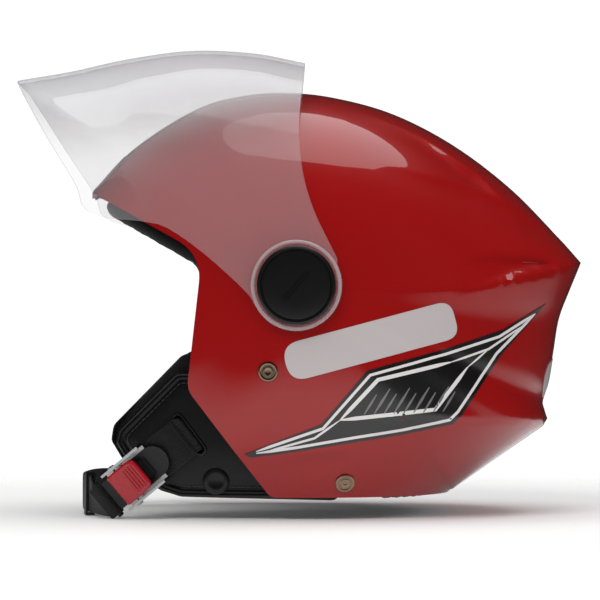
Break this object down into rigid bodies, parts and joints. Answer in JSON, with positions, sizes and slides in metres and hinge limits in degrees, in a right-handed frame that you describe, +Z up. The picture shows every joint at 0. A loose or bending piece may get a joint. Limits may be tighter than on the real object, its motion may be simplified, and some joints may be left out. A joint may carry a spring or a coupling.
{
  "type": "open face motorcycle helmet",
  "caption": "Open face motorcycle helmet with a raised clear tilting visor, cheek pads and a ratchet chin strap buckle.",
  "frame": {"origin": "middle of the overall footprint, at the height of the lowest point of the chin strap", "axes": "+Z up, the face opening looks along -X, the wearer's left side is -Y"},
  "size_m": [0.3231, 0.2502, 0.2643],
  "materials": {
    "red_gloss": "gloss red painted ABS with clear lacquer",
    "foam_black": "black moulded polystyrene beads",
    "lining_cloth": "black brushed knit over soft foam",
    "pad_vinyl": "black grained vinyl with a satin sheen",
    "black_plastic": "black moulded nylon, lightly textured",
    "clear_visor": "clear polycarbonate with a grey tint fading from its upper edge",
    "steel": "zinc plated pressed steel",
    "aged_brass": "dull antique brass",
    "webbing": "black woven polyester webbing",
    "lever_red": "red moulded plastic",
    "reflective_film": "grey-white retroreflective film",
    "decal_film": "black printed vinyl film with white pinstripes"
  },
  "bodies": {
    "helmet": {"outer_shell": "red_gloss", "eps_liner": "foam_black", "crown_lining": "lining_cloth", "brow_pad": "lining_cloth", "neck_roll": "lining_cloth", "pivot_base_left": "black_plastic", "pivot_cap_left": "black_plastic", "pivot_screw_left": "steel", "pivot_washer_left": "steel", "pivot_nut_left": "steel", "cheek_pad_left": "lining_cloth", "cheek_panel_left": "pad_vinyl", "cheek_stud_left": "black_plastic", "rivet_upper_left": "aged_brass", "rivet_lower_left": "aged_brass", "reflector_left": "reflective_film", "decal_left": "decal_film", "strap_anchor_left": "steel", "strap_inner_left": "webbing", "pivot_base_right": "black_plastic", "pivot_cap_right": "black_plastic", "pivot_screw_right": "steel", "pivot_washer_right": "steel", "pivot_nut_right": "steel", "cheek_pad_right": "lining_cloth", "cheek_panel_right": "pad_vinyl", "cheek_stud_right": "black_plastic", "rivet_upper_right": "aged_brass", "rivet_lower_right": "aged_brass", "reflector_right": "reflective_film", "decal_right": "decal_film", "strap_anchor_right": "steel", "strap_inner_right": "webbing", "reflector_front": "reflective_film", "reflector_rear": "reflective_film"},
    "visor": {"visor": "clear_visor"},
    "chin_strap": {"strap_near": "webbing", "buckle_frame": "steel", "buckle_pin": "steel", "strap_far": "webbing", "strap_keeper": "black_plastic"},
    "buckle_lever": {"buckle_lever": "lever_red"},
    "buckle_tongue": {"buckle_tongue": "black_plastic", "tongue_teeth": "black_plastic", "strap_slider": "black_plastic"}
  },
  "joints": [
    {"name": "visor_tilt", "type": "hinge", "parent": "helmet", "child": "visor", "pos_m": [-0.002, 0, 0.1291], "axis": [0, 1, 0], "range_deg": [-54, 0]},
    {"name": "chin_strap_swing", "type": "hinge", "parent": "helmet", "child": "chin_strap", "pos_m": [-0.062, 0, 0.0476], "axis": [0, 1, 0], "range_deg": [-15, 55]},
    {"name": "buckle_lever_hinge", "type": "hinge", "parent": "chin_strap", "child": "buckle_lever", "pos_m": [-0.09638, -0.0869, 0.01875], "axis": [0.6428, 0, -0.766], "range_deg": [0, 25], "stiffness_Nm_per_rad": 0.02, "springref_deg": -5.73},
    {"name": "buckle_tongue_slide", "type": "slide", "parent": "chin_strap", "child": "buckle_tongue", "axis": [-0.7165, 0.3539, -0.6012], "range_m": [0, 0.012], "deforming": ["strap_far"]}
  ]
}
